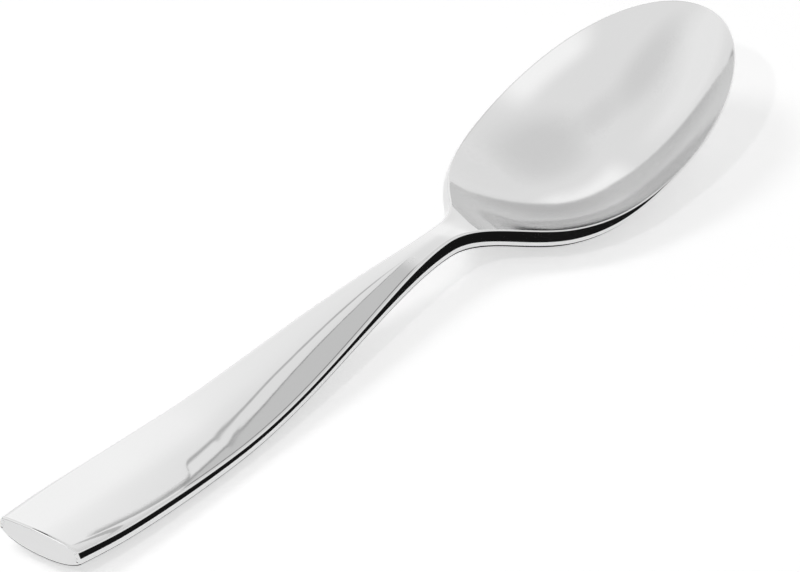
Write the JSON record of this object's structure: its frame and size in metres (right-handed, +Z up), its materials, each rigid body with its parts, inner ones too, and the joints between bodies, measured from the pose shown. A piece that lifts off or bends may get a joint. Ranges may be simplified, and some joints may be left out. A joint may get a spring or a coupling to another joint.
{
  "type": "dessert spoon",
  "caption": "Polished steel dessert spoon with an oval bowl, a slim arched neck and a tapered hollow handle of lens-shaped section, cut off flat at its end.",
  "frame": {"origin": "centre of the spoon's length and width, on the surface that it lies on", "axes": "+X along the spoon from the cut end of the handle to the tip of the bowl, +Z up out of the open bowl"},
  "size_m": [0.1851, 0.0404, 0.0216],
  "materials": {
    "polished_steel": "mirror polished stainless steel",
    "cast_filler": "cast resin, hidden inside the handle"
  },
  "bodies": {
    "root": {"bowl": "polished_steel", "handle_top_skin": "polished_steel", "handle_bottom_skin": "polished_steel", "handle_filler": "cast_filler", "end_plate": "polished_steel"}
  },
  "joints": []
}
